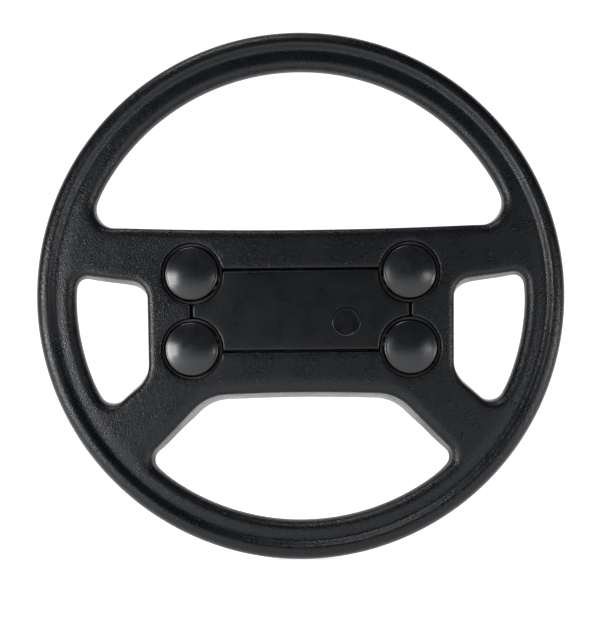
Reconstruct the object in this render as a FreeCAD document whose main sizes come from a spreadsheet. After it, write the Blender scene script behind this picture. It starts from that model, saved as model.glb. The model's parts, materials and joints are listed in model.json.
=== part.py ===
"""Four-spoke car steering wheel with four horn buttons and a pull-off centre pad.

Frame: the steering axis is Y, the driver sits at -Y, +Z is twelve o'clock. The origin is on the
axis, at the rear mouth of the hub bore. All sizes are millimetres.
"""

import FreeCAD, Part
import Sketcher
import math
import os
import re

SIZES = {
    # rim and web of the moulding; depths are measured towards the driver from the bore mouth
    "rim_outer": 190.0,
    "gap_outer": 161.8,
    "web_front": 66.0,
    "web_rear": 45.0,
    "rim_mid": 57.0,
    "rear_lobe": 16.0,
    "outer_lobe": 18.0,
    "front_lobe": 5.8,
    "valley_mid": 176.5,
    "valley_half": 2.5,
    "valley_round": 3.4,
    "hub_rear": 25.0,
    "draft": 3.6,
    # openings between the spokes
    "upper_edge": 46.0,
    "upper_edge_end": 49.6,
    "side_edge": 109.8,
    "side_top_in": 8.8,
    "side_top_out": 15.2,
    "side_low_in": 60.0,
    "side_low_out": 84.0,
    "lower_edge": 71.0,
    "lower_edge_end": 72.8,
    "lower_corner": 68.0,
    "lower_tip": 117.5,
    "upper_corner_round": 15.0,
    "side_inner_round": 12.0,
    "side_outer_round": 8.0,
    "side_low_round": 22.0,
    "lower_corner_round": 34.0,
    "tip_round": 9.6,
    "front_round": 4.5,
    # hub box behind the web
    "box_half": 122.0,
    "box_top": 62.0,
    "box_low_side": 57.0,
    "box_low_half": 84.0,
    "box_bottom": 92.0,
    # horn buttons
    "button_x": 78.35,
    "button_rise": 27.1,
    "pad_middle": -12.1,
    "socket_radius": 22.0,
    "socket_floor": 40.0,
    "well_radius": 6.5,
    "well_floor": 34.6,
    "housing_radius": 21.7,
    "collar_bore": 20.2,
    "collar_front": 61.0,
    "guide_outer": 17.0,
    "guide_bore": 14.8,
    "guide_front": 57.5,
    "housing_floor": 43.0,
    "peg_hole": 3.4,
    "slot_half": 5.5,
    "slot_front": 48.0,
    "cap_radius": 19.0,
    "cap_top": 68.8,
    "cap_edge_front": 66.6,
    "cap_head_rear": 62.6,
    "cap_roof": 65.4,
    "skirt_radius": 14.5,
    "skirt_bore": 12.4,
    "skirt_rear": 49.0,
    "peg_radius": 3.0,
    "peg_rear": 37.6,
    "peg_groove": 2.2,
    "peg_shoulder": 3.9,
    "bridge_front": 50.6,
    "bridge_rear": 50.0,
    "bridge_radius": 11.0,
    "clip_front": 39.8,
    "clip_rear": 39.0,
    "clip_radius": 5.2,
    "strip_side": 3.2,
    "strip_width": 3.0,
    "strip_thick": 0.6,
    "strip_start": 6.0,
    "strip_end": 26.0,
    "post_reach": 8.2,
    "post_radius": 1.2,
    "post_front": 47.2,
    "spring_radius": 4.9,
    "spring_wire": 0.45,
    "spring_turns": 4.0,
    # centre pad
    "pad_half": 77.5,
    "pad_half_height": 28.4,
    "pad_gap": 2.0,
    "pad_rear": 54.0,
    "pad_round": 1.2,
    "carrier_rear": 51.0,
    "recess_floor": 50.0,
    "chamber_half": 60.0,
    "chamber_half_height": 25.0,
    "chamber_floor": 42.0,
    "corner_clearance": 22.4,
    "stud_x": 26.0,
    "stud_rise": 19.0,
    "stud_radius": 2.2,
    "stud_rear": 37.5,
    "bush_radius": 5.0,
    "bush_bore": 2.5,
    "bush_rear": 36.0,
    "emblem_x": 32.6,
    "emblem_z": -20.9,
    "emblem_radius": 10.2,
    "emblem_front": 66.5,
    "emblem_rear": 64.5,
    "emblem_ring": 8.9,
    # armature
    "hoop_radius": 176.0,
    "hoop_bar": 5.5,
    "hoop_depth": 56.0,
    "plate_radius": 55.0,
    "plate_top": 40.5,
    "plate_front": 34.0,
    "plate_rear": 31.0,
    "arm_half": 9.0,
    "arm_thick": 3.0,
    "arm_start": 30.0,
    "arm_bend": 107.0,
    "arm_crank": 124.0,
    "arm_raised": 54.0,
    "upper_arm_height": 31.5,
    "lower_arm_angle": 38.5,
    # hub boss and bore
    "boss_radius": 17.0,
    "boss_front": 40.0,
    "pilot_radius": 9.0,
    "pilot_depth": 8.0,
    "spline_minor": 8.2,
    "spline_major": 8.8,
    "spline_teeth": 40,
    "nut_bore": 13.5,
    "nut_seat": 34.0,
    "nut_well": 17.0,
    # rear of the hub
    "recess_radius": 42.5,
    "carrier_inner": 17.2,
    "carrier_outer": 35.5,
    "carrier_back": 26.0,
    "track_back": 21.0,
    "ring_inner": 24.0,
    "ring_outer": 30.0,
    "ring_back": 18.6,
    "cam_outer": 22.5,
    "cam_back": 6.0,
    "cam_lug": 27.0,
    "cam_lug_half": 4.0,
    "shroud_inner": 36.0,
    "shroud_back": 22.0,
    "screw_circle": 32.8,
    "shroud_circle": 39.3,
    "screw_radius": 1.4,
    "screw_head": 2.4,
    "screw_head_height": 2.0,
    "screw_tip": 33.6,
    # wiring
    "window_x": 31.0,
    "window_radius": 7.0,
    "earth_x": 46.0,
    "earth_well": 8.2,
    "earth_washer": 6.0,
    "lead_radius": 0.75,
    "lead_depth": 44.4,
}

RIGHT, LEFT, UPPER, LOWER = 1, -1, 1, -1
CORNERS = {
    "upper_left": (LEFT, UPPER),
    "upper_right": (RIGHT, UPPER),
    "lower_left": (LEFT, LOWER),
    "lower_right": (RIGHT, LOWER),
}

doc = FreeCAD.newDocument("steering_wheel")
sheet = doc.addObject("Spreadsheet::Sheet", "Sizes")
for row, (alias, size) in enumerate(SIZES.items(), start=1):
    sheet.set(f"A{row}", alias)
    sheet.set(f"B{row}", str(size))
    sheet.setAlias(f"B{row}", alias)
doc.recompute()

WORD = re.compile(r"[a-z_]+")
Y_AXIS = FreeCAD.Vector(0, 1, 0)
nodes = []


def bound(text):
    """An expression written with bare size names, as the document needs it."""
    return WORD.sub(lambda word: f"Sizes.{word[0]}" if word[0] in SIZES else word[0], text)


def value(text):
    """The number that an expression gives now."""
    return float(sheet.evalExpression(bound(text)))


def node(item, name):
    """Names a finished sub-part."""
    item.Label = name
    nodes.append(item)
    return item


def new_body(name):
    return doc.addObject("PartDesign::Body", name + "_body")


def plane_of(body, role):
    return next(feature for feature in body.Origin.OriginFeatures if feature.Role == role)


def empty_sketch(body, name, plane, depth=None):
    """A sketch on an origin plane, or in front of XZ_Plane by depth towards the driver."""
    sketch = body.newObject("Sketcher::SketchObject", name)
    sketch.AttachmentSupport = [(plane_of(body, plane), "")]
    sketch.MapMode = "FlatFace"
    if depth is not None:
        sketch.setExpression("AttachmentOffset.Base.z", bound(depth))
    return sketch


def datum(sketch, kind, *where, text):
    """A driven dimension bound to the sheet."""
    index = sketch.addConstraint(Sketcher.Constraint(kind, *where, value(text)))
    sketch.setExpression(f"Constraints[{index}]", bound(text))


def pin(sketch, geometry, end, corner):
    """Holds a point of the sketch at a pair of expressions."""
    datum(sketch, "DistanceX", -1, 1, geometry, end, text=corner[0])
    datum(sketch, "DistanceY", -1, 1, geometry, end, text=corner[1])


def outline(body, name, plane, corners, arcs=None, depth=None):
    """A closed outline through corners; arcs[i] = (radius, side) bends the edge after corner i.

    side is +1 when the arc's centre is to the left of that edge, -1 when it is to the right.
    """
    arcs = arcs or {}
    sketch = empty_sketch(body, name, plane, depth)
    points = [FreeCAD.Vector(value(x), value(y)) for x, y in corners]
    count = len(points)
    ends = []
    for i, start in enumerate(points):
        end = points[(i + 1) % count]
        if i not in arcs:
            sketch.addGeometry(Part.LineSegment(start, end), False)
            ends.append((1, 2))
            continue
        radius, side = value(arcs[i][0]), arcs[i][1]
        chord = end - start
        across = FreeCAD.Vector(-chord.y, chord.x).normalize() * side
        centre = (start + end) / 2 + across * math.sqrt(radius**2 - chord.Length**2 / 4)
        first, last = (start, end) if side > 0 else (end, start)
        angles = [math.atan2(p.y - centre.y, p.x - centre.x) for p in (first, last)]
        circle = Part.Circle(centre, FreeCAD.Vector(0, 0, 1), radius)
        sketch.addGeometry(Part.ArcOfCircle(circle, *angles), False)
        ends.append((1, 2) if side > 0 else (2, 1))
    for i, corner in enumerate(corners):
        previous = (i - 1) % count
        sketch.addConstraint(Sketcher.Constraint("Coincident", previous, ends[previous][1], i, ends[i][0]))
        pin(sketch, i, ends[i][0], corner)
        if i in arcs:
            datum(sketch, "Radius", i, text=arcs[i][0])
    return sketch


def circles(body, name, plane, discs, depth=None):
    """A sketch of whole circles, each (x, y, radius)."""
    sketch = empty_sketch(body, name, plane, depth)
    for i, (x, y, radius) in enumerate(discs):
        centre = FreeCAD.Vector(value(x), value(y))
        sketch.addGeometry(Part.Circle(centre, FreeCAD.Vector(0, 0, 1), value(radius)), False)
        pin(sketch, i, 3, (x, y))
        datum(sketch, "Radius", i, text=radius)
    return sketch


def pad(body, name, sketch, length, reversed_way=False):
    feature = body.newObject("PartDesign::Pad", name)
    feature.Profile = sketch
    feature.setExpression("Length", bound(length))
    feature.Reversed = reversed_way
    doc.recompute()
    return feature


def pocket(body, name, sketch, length):
    """Cuts away from the driver, and says so when nothing was cut."""
    before = body.Shape.Volume
    feature = body.newObject("PartDesign::Pocket", name)
    feature.Profile = sketch
    feature.setExpression("Length", bound(length))
    doc.recompute()
    if body.Shape.Volume > before - 1e-6:
        raise RuntimeError(f"{name} cut nothing")
    return feature


def revolve(body, name, sketch):
    """Turns a profile drawn on XY_Plane about the steering axis or a line parallel to it."""
    feature = body.newObject("PartDesign::Revolution", name)
    feature.Profile = sketch
    feature.ReferenceAxis = (sketch, ["V_Axis"])
    feature.Angle = 360
    doc.recompute()
    return feature


def fillet(body, name, radius, wanted):
    """Rounds every edge of the body that wanted(edge) picks."""
    base = body.Tip
    picked = [f"Edge{i}" for i, edge in enumerate(base.Shape.Edges, start=1) if wanted(edge)]
    if not picked:
        raise RuntimeError(f"{name} found no edge")
    feature = body.newObject("PartDesign::Fillet", name)
    feature.Base = (base, picked)
    feature.setExpression("Radius", bound(radius))
    doc.recompute()
    if feature.Shape.isNull() or not feature.Shape.isValid():
        raise RuntimeError(f"{name} failed")
    return feature


def turned(name, corners, arcs=None):
    """A body turned from a half section: corners are (radius, depth) pairs."""
    body = new_body(name)
    section = [(radius, f"-({depth})") for radius, depth in corners]
    revolve(body, name + "_turn", outline(body, name + "_section", "XY_Plane", section, arcs))
    return body


def cut(name, base, *tools):
    """base less every tool, as one document object."""
    tool = tools[0]
    if len(tools) > 1:
        tool = doc.addObject("Part::MultiFuse", name + "_tools")
        tool.Shapes = list(tools)
    result = doc.addObject("Part::Cut", name + "_cut")
    result.Base = base
    result.Tool = tool
    return result


def cylinder(name, x, z, radius, front, rear):
    """A Part cylinder along the steering axis, between two depths."""
    item = doc.addObject("Part::Cylinder", name)
    item.Placement = FreeCAD.Placement(FreeCAD.Vector(), FreeCAD.Rotation(FreeCAD.Vector(1, 0, 0), -90))
    item.setExpression("Placement.Base.x", bound(x))
    item.setExpression("Placement.Base.y", bound(f"-({front})"))
    item.setExpression("Placement.Base.z", bound(z))
    item.setExpression("Radius", bound(radius))
    item.setExpression("Height", bound(f"({front}) - ({rear})"))
    return item


def gather(name, pieces):
    """Several separate solids as one node."""
    group = doc.addObject("Part::Compound", name + "_set")
    group.Links = list(pieces)
    return node(group, name)


# ------------------------------------------------------------------ armature


def rim_hoop():
    hoop = doc.addObject("Part::Torus", "hoop")
    hoop.setExpression("Radius1", bound("hoop_radius"))
    hoop.setExpression("Radius2", bound("hoop_bar"))
    hoop.Placement = FreeCAD.Placement(FreeCAD.Vector(), FreeCAD.Rotation(FreeCAD.Vector(1, 0, 0), 90))
    hoop.setExpression("Placement.Base.y", bound("-hoop_depth"))
    return node(hoop, "rim_hoop")


def hub_plate():
    """Pressed disc with windows for the feed leads and holes for its screws."""
    body = new_body("hub_plate")
    holes = [("0", "0", "boss_radius")]
    holes += [(f"{side} * window_x", "pad_middle", "window_radius") for side in (RIGHT, LEFT)]
    holes += [(f"{side} * earth_x", "pad_middle", "screw_radius") for side in (RIGHT, LEFT)]
    holes += [(x, z, "screw_radius") for x, z in carrier_screw_places() + shroud_screw_places()]
    disc = circles(body, "plate_disc", "XZ_Plane", [("0", "0", "plate_radius")], "plate_rear")
    pad(body, "plate_pad", disc, "plate_front - plate_rear")
    above = [
        ("-plate_radius", "plate_top"),
        ("plate_radius", "plate_top"),
        ("plate_radius", "plate_radius + 1"),
        ("-plate_radius", "plate_radius + 1"),
    ]
    top = outline(body, "plate_top_outline", "XZ_Plane", above, depth="plate_front")
    pocket(body, "plate_flat", top, "plate_front - plate_rear")
    bores = circles(body, "plate_holes", "XZ_Plane", holes, "plate_front")
    pocket(body, "plate_pocket", bores, "plate_front - plate_rear")
    return node(body, "hub_plate")


def spoke_arm(name, side, row, plate_edge, hoop):
    """Cranked strip from the hub plate up to the hoop, cut to fit both."""
    body = new_body(name)
    raised = "hoop_depth - arm_thick / 2"
    lower_face = [
        ("arm_start", "plate_rear"),
        ("arm_bend", "plate_rear"),
        ("arm_crank", "arm_raised - arm_thick"),
        ("hoop_radius", raised),
    ]
    upper_face = [
        ("hoop_radius", f"{raised} + arm_thick"),
        ("arm_crank - 1.5", "arm_raised"),
        ("arm_bend - 2", "plate_front"),
        ("arm_start", "plate_front"),
    ]
    corners = [(x, f"-({depth})") for x, depth in lower_face + upper_face]
    strip = pad(body, name + "_strip", outline(body, name + "_edge", "XY_Plane", corners), "2 * arm_half")
    strip.Midplane = True
    if row == UPPER:
        turn = 0 if side == RIGHT else 180
        height = "upper_arm_height"
    else:
        lean = value("lower_arm_angle")
        turn = lean if side == RIGHT else 180 - lean
        height = "0"
    body.Placement = FreeCAD.Placement(FreeCAD.Vector(), FreeCAD.Rotation(Y_AXIS, turn))
    body.setExpression("Placement.Base.z", bound(height))
    return node(cut(name, body, plate_edge, hoop), name)


def hub_boss():
    """Turned boss with a pilot bore, a splined bore and a counterbore for the column nut."""
    corners = [
        ("pilot_radius", "0"),
        ("boss_radius", "0"),
        ("boss_radius", "boss_front"),
        ("nut_bore", "boss_front"),
        ("nut_bore", "nut_seat"),
        ("spline_minor", "nut_seat"),
        ("spline_minor", "pilot_depth"),
        ("pilot_radius", "pilot_depth"),
    ]
    body = turned("hub_boss", corners)
    half = "spline_minor * tan(180 / spline_teeth * 0.45)"
    notch = [("spline_minor - 0.4", f"-({half})"), ("spline_major", "-0.12"), ("spline_major", "0.12")]
    notch += [("spline_minor - 0.4", half)]
    sketch = outline(body, "spline_notch", "XZ_Plane", notch, depth="nut_seat")
    first = pocket(body, "spline_cut", sketch, "nut_seat - pilot_depth")
    pattern = body.newObject("PartDesign::PolarPattern", "spline")
    pattern.Originals = [first]
    pattern.Axis = (plane_of(body, "Y_Axis"), [""])
    pattern.Angle = 360
    pattern.setExpression("Occurrences", bound("spline_teeth"))
    body.Tip = pattern
    doc.recompute()
    return node(body, "hub_boss")


# ------------------------------------------------------------------ moulding


def on_circle(height):
    """The x at which a height meets the arc that bounds the openings."""
    return f"sqrt(gap_outer ^ 2 - ({height}) ^ 2)"


def bow(half, sag):
    """Radius of an edge that bows by sag over a half width."""
    return f"(({half}) ^ 2 + ({sag}) ^ 2) / (2 * ({sag}))"


def opening_tool(name, corners, arcs, rounds):
    """The space of one opening: a drafted block, its upright corners rounded by rounds."""
    body = new_body(name)
    sketch = outline(body, name + "_outline", "XZ_Plane", corners, arcs, depth="web_front")
    block = pad(body, name + "_block", sketch, "web_front - hub_rear + 1", reversed_way=True)
    block.setExpression("TaperAngle", bound("-draft"))
    doc.recompute()
    for i, (corner, radius) in enumerate(zip(corners, rounds)):
        spot = FreeCAD.Vector(value(corner[0]), -value("web_front"), value(corner[1]))

        def upright(edge):
            return edge.BoundBox.YLength > 8 and min(v.Point.distanceToPoint(spot) for v in edge.Vertexes) < 3

        fillet(body, f"{name}_round_{i}", radius, upright)
    return body


def moulding_form():
    """The foam skin as one body, before the armature is taken out of it."""
    section = [
        ("0", "web_front"),
        ("0", "web_rear"),
        ("valley_mid - 12", "web_rear"),
        ("rim_outer - 2.4", "rim_mid - 8.5"),
        ("rim_outer - 1.2", "rim_mid + 6.5"),
        ("valley_mid + valley_half", "web_front + 1"),
        ("valley_mid - valley_half", "web_front"),
    ]
    arcs = {
        2: ("rear_lobe", -1),
        3: ("outer_lobe", -1),
        4: ("front_lobe", -1),
        5: ("valley_round", 1),
    }
    body = turned("moulding", section, arcs)
    box = [
        ("-box_half", "box_top"),
        ("-box_half", "-box_low_side"),
        ("-box_low_half", "-box_bottom"),
        ("box_low_half", "-box_bottom"),
        ("box_half", "-box_low_side"),
        ("box_half", "box_top"),
    ]
    base = outline(body, "hub_box_outline", "XZ_Plane", box, depth="web_rear + 2")
    pad(body, "hub_box", base, "web_rear + 2 - hub_rear", reversed_way=True)

    upper_half = on_circle("upper_edge_end")
    upper = [(f"-({upper_half})", "upper_edge_end"), (upper_half, "upper_edge_end")]
    upper_arcs = {0: (bow(upper_half, "upper_edge_end - upper_edge"), 1), 1: ("gap_outer", 1)}
    lower_half = on_circle("lower_tip")
    lower = [
        ("-lower_corner", "-lower_edge_end"),
        (f"-({lower_half})", "-lower_tip"),
        (lower_half, "-lower_tip"),
        ("lower_corner", "-lower_edge_end"),
    ]
    lower_arcs = {
        1: ("gap_outer", 1),
        3: (bow("lower_corner", "lower_edge_end - lower_edge"), -1),
    }
    tools = [
        opening_tool("upper_gap", upper, upper_arcs, ["upper_corner_round"] * 2),
        opening_tool(
            "lower_gap", lower, lower_arcs,
            ["lower_corner_round", "tip_round", "tip_round", "lower_corner_round"],
        ),
    ]
    for side, word in ((RIGHT, "right"), (LEFT, "left")):
        corners = [
            (f"{side} * side_edge", "side_top_in"),
            (f"{side} * side_edge", "-side_low_in"),
            (f"{side} * {on_circle('side_low_out')}", "-side_low_out"),
            (f"{side} * {on_circle('side_top_out')}", "side_top_out"),
        ]
        rounds = ["side_inner_round", "side_low_round", "tip_round", "side_outer_round"]
        tools.append(opening_tool(f"{word}_gap", corners, {2: ("gap_outer", side)}, rounds))
    openings = body.newObject("PartDesign::Boolean", "openings")
    openings.Type = "Cut"
    openings.addObjects(tools)
    body.Tip = openings
    doc.recompute()
    round_front(body)
    hollow_hub(body)
    return body


def round_front(body):
    """Rounds the front edges of the four openings."""
    front = -value("web_front")
    reach = value("gap_outer") + 2

    def front_edge(edge):
        box = edge.BoundBox
        flat = abs(box.YMin - front) < 0.01 and abs(box.YMax - front) < 0.01
        return flat and math.hypot(edge.Vertexes[0].X, edge.Vertexes[0].Z) < reach

    fillet(body, "front_edges", "front_round", front_edge)


def pad_corners(half, half_height):
    """A rectangle about the middle of the pad, clockwise from the driver's upper left."""
    top, bottom = f"pad_middle + {half_height}", f"pad_middle - {half_height}"
    return [(f"-({half})", bottom), (half, bottom), (half, top), (f"-({half})", top)]


def button_places():
    return {
        name: (f"{side} * button_x", f"pad_middle + {row} * button_rise")
        for name, (side, row) in CORNERS.items()
    }


def stud_places():
    return [
        (f"{side} * stud_x", f"pad_middle + {row} * stud_rise") for side, row in CORNERS.values()
    ]


def hollow_hub(body):
    """Pad recess, wiring chamber, horn sockets, wells and the round recess at the back."""
    recess = pad_corners("pad_half + pad_gap", "(pad_half_height + pad_gap)")
    sketch = outline(body, "recess_outline", "XZ_Plane", recess, depth="web_front")
    pocket(body, "pad_recess", sketch, "web_front - recess_floor")
    chamber = pad_corners("chamber_half", "chamber_half_height")
    sketch = outline(body, "chamber_outline", "XZ_Plane", chamber, depth="recess_floor")
    pocket(body, "wiring_chamber", sketch, "recess_floor - chamber_floor")
    sockets = [(x, z, "socket_radius") for x, z in button_places().values()]
    sketch = circles(body, "socket_circles", "XZ_Plane", sockets, "web_front")
    pocket(body, "horn_sockets", sketch, "web_front - socket_floor")
    wells = [(x, z, "well_radius") for x, z in button_places().values()]
    sketch = circles(body, "well_circles", "XZ_Plane", wells, "socket_floor")
    pocket(body, "peg_wells", sketch, "socket_floor - well_floor")
    bushes = [(x, z, "bush_radius") for x, z in stud_places()]
    sketch = circles(body, "bush_circles", "XZ_Plane", bushes, "chamber_floor")
    pocket(body, "bush_holes", sketch, "chamber_floor - bush_rear")
    through = {"nut_well": ("0", "nut_well")}
    for side, word in ((RIGHT, "right"), (LEFT, "left")):
        through[f"window_{word}"] = (f"{side} * window_x", "window_radius")
        through[f"earth_well_{word}"] = (f"{side} * earth_x", "earth_well")
    for name, (x, radius) in through.items():
        z = "0" if name == "nut_well" else "pad_middle"
        sketch = circles(body, name + "_circle", "XZ_Plane", [(x, z, radius)], "chamber_floor")
        pocket(body, name, sketch, "chamber_floor - plate_front")
    tips = [(f"{side} * earth_x", "pad_middle", "screw_radius") for side in (RIGHT, LEFT)]
    sketch = circles(body, "earth_tip_circles", "XZ_Plane", tips, "plate_front")
    pocket(body, "earth_tips", sketch, "plate_front - plate_rear")
    sketch = circles(body, "rear_recess_circle", "XZ_Plane", [("0", "0", "recess_radius")], "plate_front")
    pocket(body, "rear_recess", sketch, "plate_front - hub_rear + 1")


# ------------------------------------------------------------------ horn buttons


def place_button(item, name):
    """Stands a part on its button's axis, its local +X towards the middle of the pad."""
    side, row = CORNERS[name]
    x, z = button_places()[name]
    lean = math.degrees(math.atan2(value("button_rise"), value("button_x")))
    turn = 180 - lean if side == RIGHT else lean
    item.Placement = FreeCAD.Placement(FreeCAD.Vector(), FreeCAD.Rotation(Y_AXIS, row * turn))
    item.setExpression("Placement.Base.x", bound(x))
    item.setExpression("Placement.Base.z", bound(z))
    return item


def horn_housing(name):
    """Cup with an outer collar, an inner guide and a slot for the two contact strips."""
    corners = [
        ("peg_hole", "socket_floor"),
        ("housing_radius", "socket_floor"),
        ("housing_radius", "collar_front"),
        ("collar_bore", "collar_front"),
        ("collar_bore", "housing_floor"),
        ("guide_outer", "housing_floor"),
        ("guide_outer", "guide_front"),
        ("guide_bore", "guide_front"),
        ("guide_bore", "housing_floor"),
        ("peg_hole", "housing_floor"),
    ]
    body = turned(f"horn_housing_{name}", corners)
    slot = [
        ("guide_bore - 1", "-slot_half"),
        ("housing_radius + 1", "-slot_half"),
        ("housing_radius + 1", "slot_half"),
        ("guide_bore - 1", "slot_half"),
    ]
    sketch = outline(body, f"slot_outline_{name}", "XZ_Plane", slot, depth="slot_front")
    pocket(body, f"contact_slot_{name}", sketch, "slot_front - housing_floor")
    place_button(body, name)
    return node(body, f"horn_housing_{name}")


def horn_cap(name):
    """Domed head, guide skirt and a centre peg with a clip groove, in one piece."""
    corners = [
        ("0", "cap_top"),
        ("0", "peg_rear"),
        ("peg_radius - 0.5", "peg_rear"),
        ("peg_radius", "peg_rear + 0.5"),
        ("peg_radius", "clip_rear"),
        ("peg_groove", "clip_rear"),
        ("peg_groove", "clip_front"),
        ("peg_radius", "clip_front"),
        ("peg_radius", "bridge_front"),
        ("peg_shoulder", "bridge_front"),
        ("peg_shoulder", "cap_roof"),
        ("skirt_bore", "cap_roof"),
        ("skirt_bore", "skirt_rear"),
        ("skirt_radius", "skirt_rear"),
        ("skirt_radius", "cap_head_rear"),
        ("cap_radius - 0.6", "cap_head_rear"),
        ("cap_radius", "cap_head_rear + 0.6"),
        ("cap_radius", "cap_edge_front - 0.7"),
        ("cap_radius - 0.9", "cap_edge_front + 0.2"),
    ]
    dome = bow("cap_radius - 0.9", "cap_top - cap_edge_front - 0.2")
    body = turned(f"horn_cap_{name}", corners, {18: (dome, -1)})
    place_button(body, name)
    return node(body, f"horn_cap_{name}")


def plain_ring(node_name, place, bore, radius, front, rear, slot=None):
    """A flat ring on a button's axis, with an open mouth when slot gives its half width."""
    body = new_body(node_name)
    disc = circles(body, node_name + "_ring", "XZ_Plane", [("0", "0", radius), ("0", "0", bore)], rear)
    pad(body, node_name + "_pad", disc, f"({front}) - ({rear})")
    if slot:
        mouth = [("0", f"-({slot})"), (f"{radius} + 1", f"-({slot})"), (f"{radius} + 1", slot), ("0", slot)]
        sketch = outline(body, node_name + "_mouth", "XZ_Plane", mouth, depth=front)
        pocket(body, node_name + "_open", sketch, f"({front}) - ({rear})")
    place_button(body, place)
    return node(body, node_name)


def contact_strip(node_name, place, lane):
    """Brass strip on the housing floor with a contact post; lane is its side of the middle line."""
    body = new_body(node_name)
    near, far = f"{lane} * strip_side - strip_width / 2", f"{lane} * strip_side + strip_width / 2"
    corners = [("strip_start", near), ("strip_end", near), ("strip_end", far), ("strip_start", far)]
    strip = outline(body, node_name + "_strip", "XZ_Plane", corners, depth="housing_floor")
    pad(body, node_name + "_flat", strip, "strip_thick")
    post = [("post_reach", f"{lane} * strip_side", "post_radius")]
    sketch = circles(body, node_name + "_post", "XZ_Plane", post, "housing_floor + strip_thick")
    pad(body, node_name + "_rise", sketch, "post_front - housing_floor - strip_thick")
    place_button(body, place)
    return node(body, node_name)


def horn_spring(name):
    """Coil between the housing floor and the bridge contact, swept along a helix."""
    coil = doc.addObject("Part::Helix", f"coil_{name}")
    length = "(bridge_rear - housing_floor - 2 * spring_wire - 0.1)"
    coil.setExpression("Radius", bound("spring_radius"))
    coil.setExpression("Height", bound(length))
    coil.setExpression("Pitch", bound(f"{length} / spring_turns"))
    wire = doc.addObject("Part::Circle", f"coil_wire_{name}")
    wire.setExpression("Radius", bound("spring_wire"))
    wire.Placement = FreeCAD.Placement(FreeCAD.Vector(), FreeCAD.Rotation(FreeCAD.Vector(1, 0, 0), 90))
    wire.setExpression("Placement.Base.x", bound("spring_radius"))
    sweep = doc.addObject("Part::Sweep", f"horn_spring_{name}_coil")
    sweep.Sections = [wire]
    sweep.Spine = (coil, ["Edge1"])
    sweep.Solid = True
    sweep.Frenet = True
    x, z = button_places()[name]
    sweep.Placement = FreeCAD.Placement(FreeCAD.Vector(), FreeCAD.Rotation(FreeCAD.Vector(1, 0, 0), 90))
    sweep.setExpression("Placement.Base.x", bound(x))
    sweep.setExpression("Placement.Base.y", bound("-(housing_floor + spring_wire + 0.05)"))
    sweep.setExpression("Placement.Base.z", bound(z))
    return node(sweep, f"horn_spring_{name}")


def horn_button(name):
    side, row = CORNERS[name]
    outer_lane = -side * row
    horn_housing(name)
    horn_cap(name)
    plain_ring(f"bridge_contact_{name}", name, "peg_radius", "bridge_radius", "bridge_front", "bridge_rear")
    plain_ring(
        f"cap_clip_{name}", name, "peg_groove", "clip_radius", "clip_front", "clip_rear", slot="peg_groove"
    )
    contact_strip(f"feed_contact_{name}", name, outer_lane)
    contact_strip(f"earth_contact_{name}", name, -outer_lane)
    horn_spring(name)


# ------------------------------------------------------------------ centre pad


def pad_blank(name, depth, length):
    """A plate of the pad's outline, its corners cut clear of the horn sockets."""
    body = new_body(name)
    sketch = outline(
        body, name + "_outline", "XZ_Plane", pad_corners("pad_half", "pad_half_height"), depth=depth
    )
    pad(body, name + "_blank", sketch, length)
    return body


def clear_sockets(body, name, front, rear):
    discs = [(x, z, "corner_clearance") for x, z in button_places().values()]
    sketch = circles(body, name + "_corner_circles", "XZ_Plane", discs, front)
    pocket(body, name + "_corner_cuts", sketch, f"{front} - {rear}")


def centre_pad():
    body = pad_blank("centre_pad", "pad_rear", "web_front - pad_rear")
    clear_sockets(body, "centre_pad", "web_front", "pad_rear")
    front = -value("web_front")
    fillet(
        body, "pad_edge", "pad_round",
        lambda edge: abs(edge.BoundBox.YMin - front) < 0.01 and abs(edge.BoundBox.YMax - front) < 0.01,
    )
    disc = circles(body, "emblem_seat_circle", "XZ_Plane", [("emblem_x", "emblem_z", "emblem_radius")],
                   "web_front")
    pocket(body, "emblem_seat", disc, "web_front - emblem_rear")
    return node(body, "centre_pad")


def pad_carrier():
    """Plastic plate behind the pad with four push-in studs."""
    body = pad_blank("pad_carrier", "carrier_rear", "pad_rear - carrier_rear")
    clear_sockets(body, "pad_carrier", "pad_rear", "carrier_rear")
    studs = [(x, z, "stud_radius") for x, z in stud_places()]
    sketch = circles(body, "stud_circles", "XZ_Plane", studs, "carrier_rear")
    pad(body, "studs", sketch, "carrier_rear - stud_rear", reversed_way=True)
    return node(body, "pad_carrier")


def horn_emblem():
    """Round plate with a raised ring and a raised middle disc."""
    corners = [
        ("0", "emblem_rear"),
        ("0", "emblem_front"),
        ("emblem_ring / 2", "emblem_front"),
        ("emblem_ring / 2", "emblem_front - 0.4"),
        ("emblem_ring", "emblem_front - 0.4"),
        ("emblem_ring", "emblem_front"),
        ("emblem_radius", "emblem_front - 0.2"),
        ("emblem_radius", "emblem_rear"),
    ]
    body = turned("horn_emblem", corners)
    body.setExpression("Placement.Base.x", bound("emblem_x"))
    body.setExpression("Placement.Base.z", bound("emblem_z"))
    return node(body, "horn_emblem")


def pad_clip_bushes():
    bushes = []
    for i, (x, z) in enumerate(stud_places(), start=1):
        block = cylinder(f"bush_block_{i}", x, z, "bush_radius", "chamber_floor", "bush_rear")
        bore = cylinder(f"bush_bore_{i}", x, z, "bush_bore", "chamber_floor + 1", "bush_rear + 1")
        bushes.append(cut(f"bush_{i}", block, bore))
    return gather("pad_clip_bushes", bushes)


# ------------------------------------------------------------------ back of the hub


def around(circle, angles):
    return [(f"{circle} * cos({angle})", f"{circle} * sin({angle})") for angle in angles]


def carrier_screw_places():
    return around("screw_circle", (90, 225, 315))


def shroud_screw_places():
    return around("shroud_circle", (45, 135, 225, 315))


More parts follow.
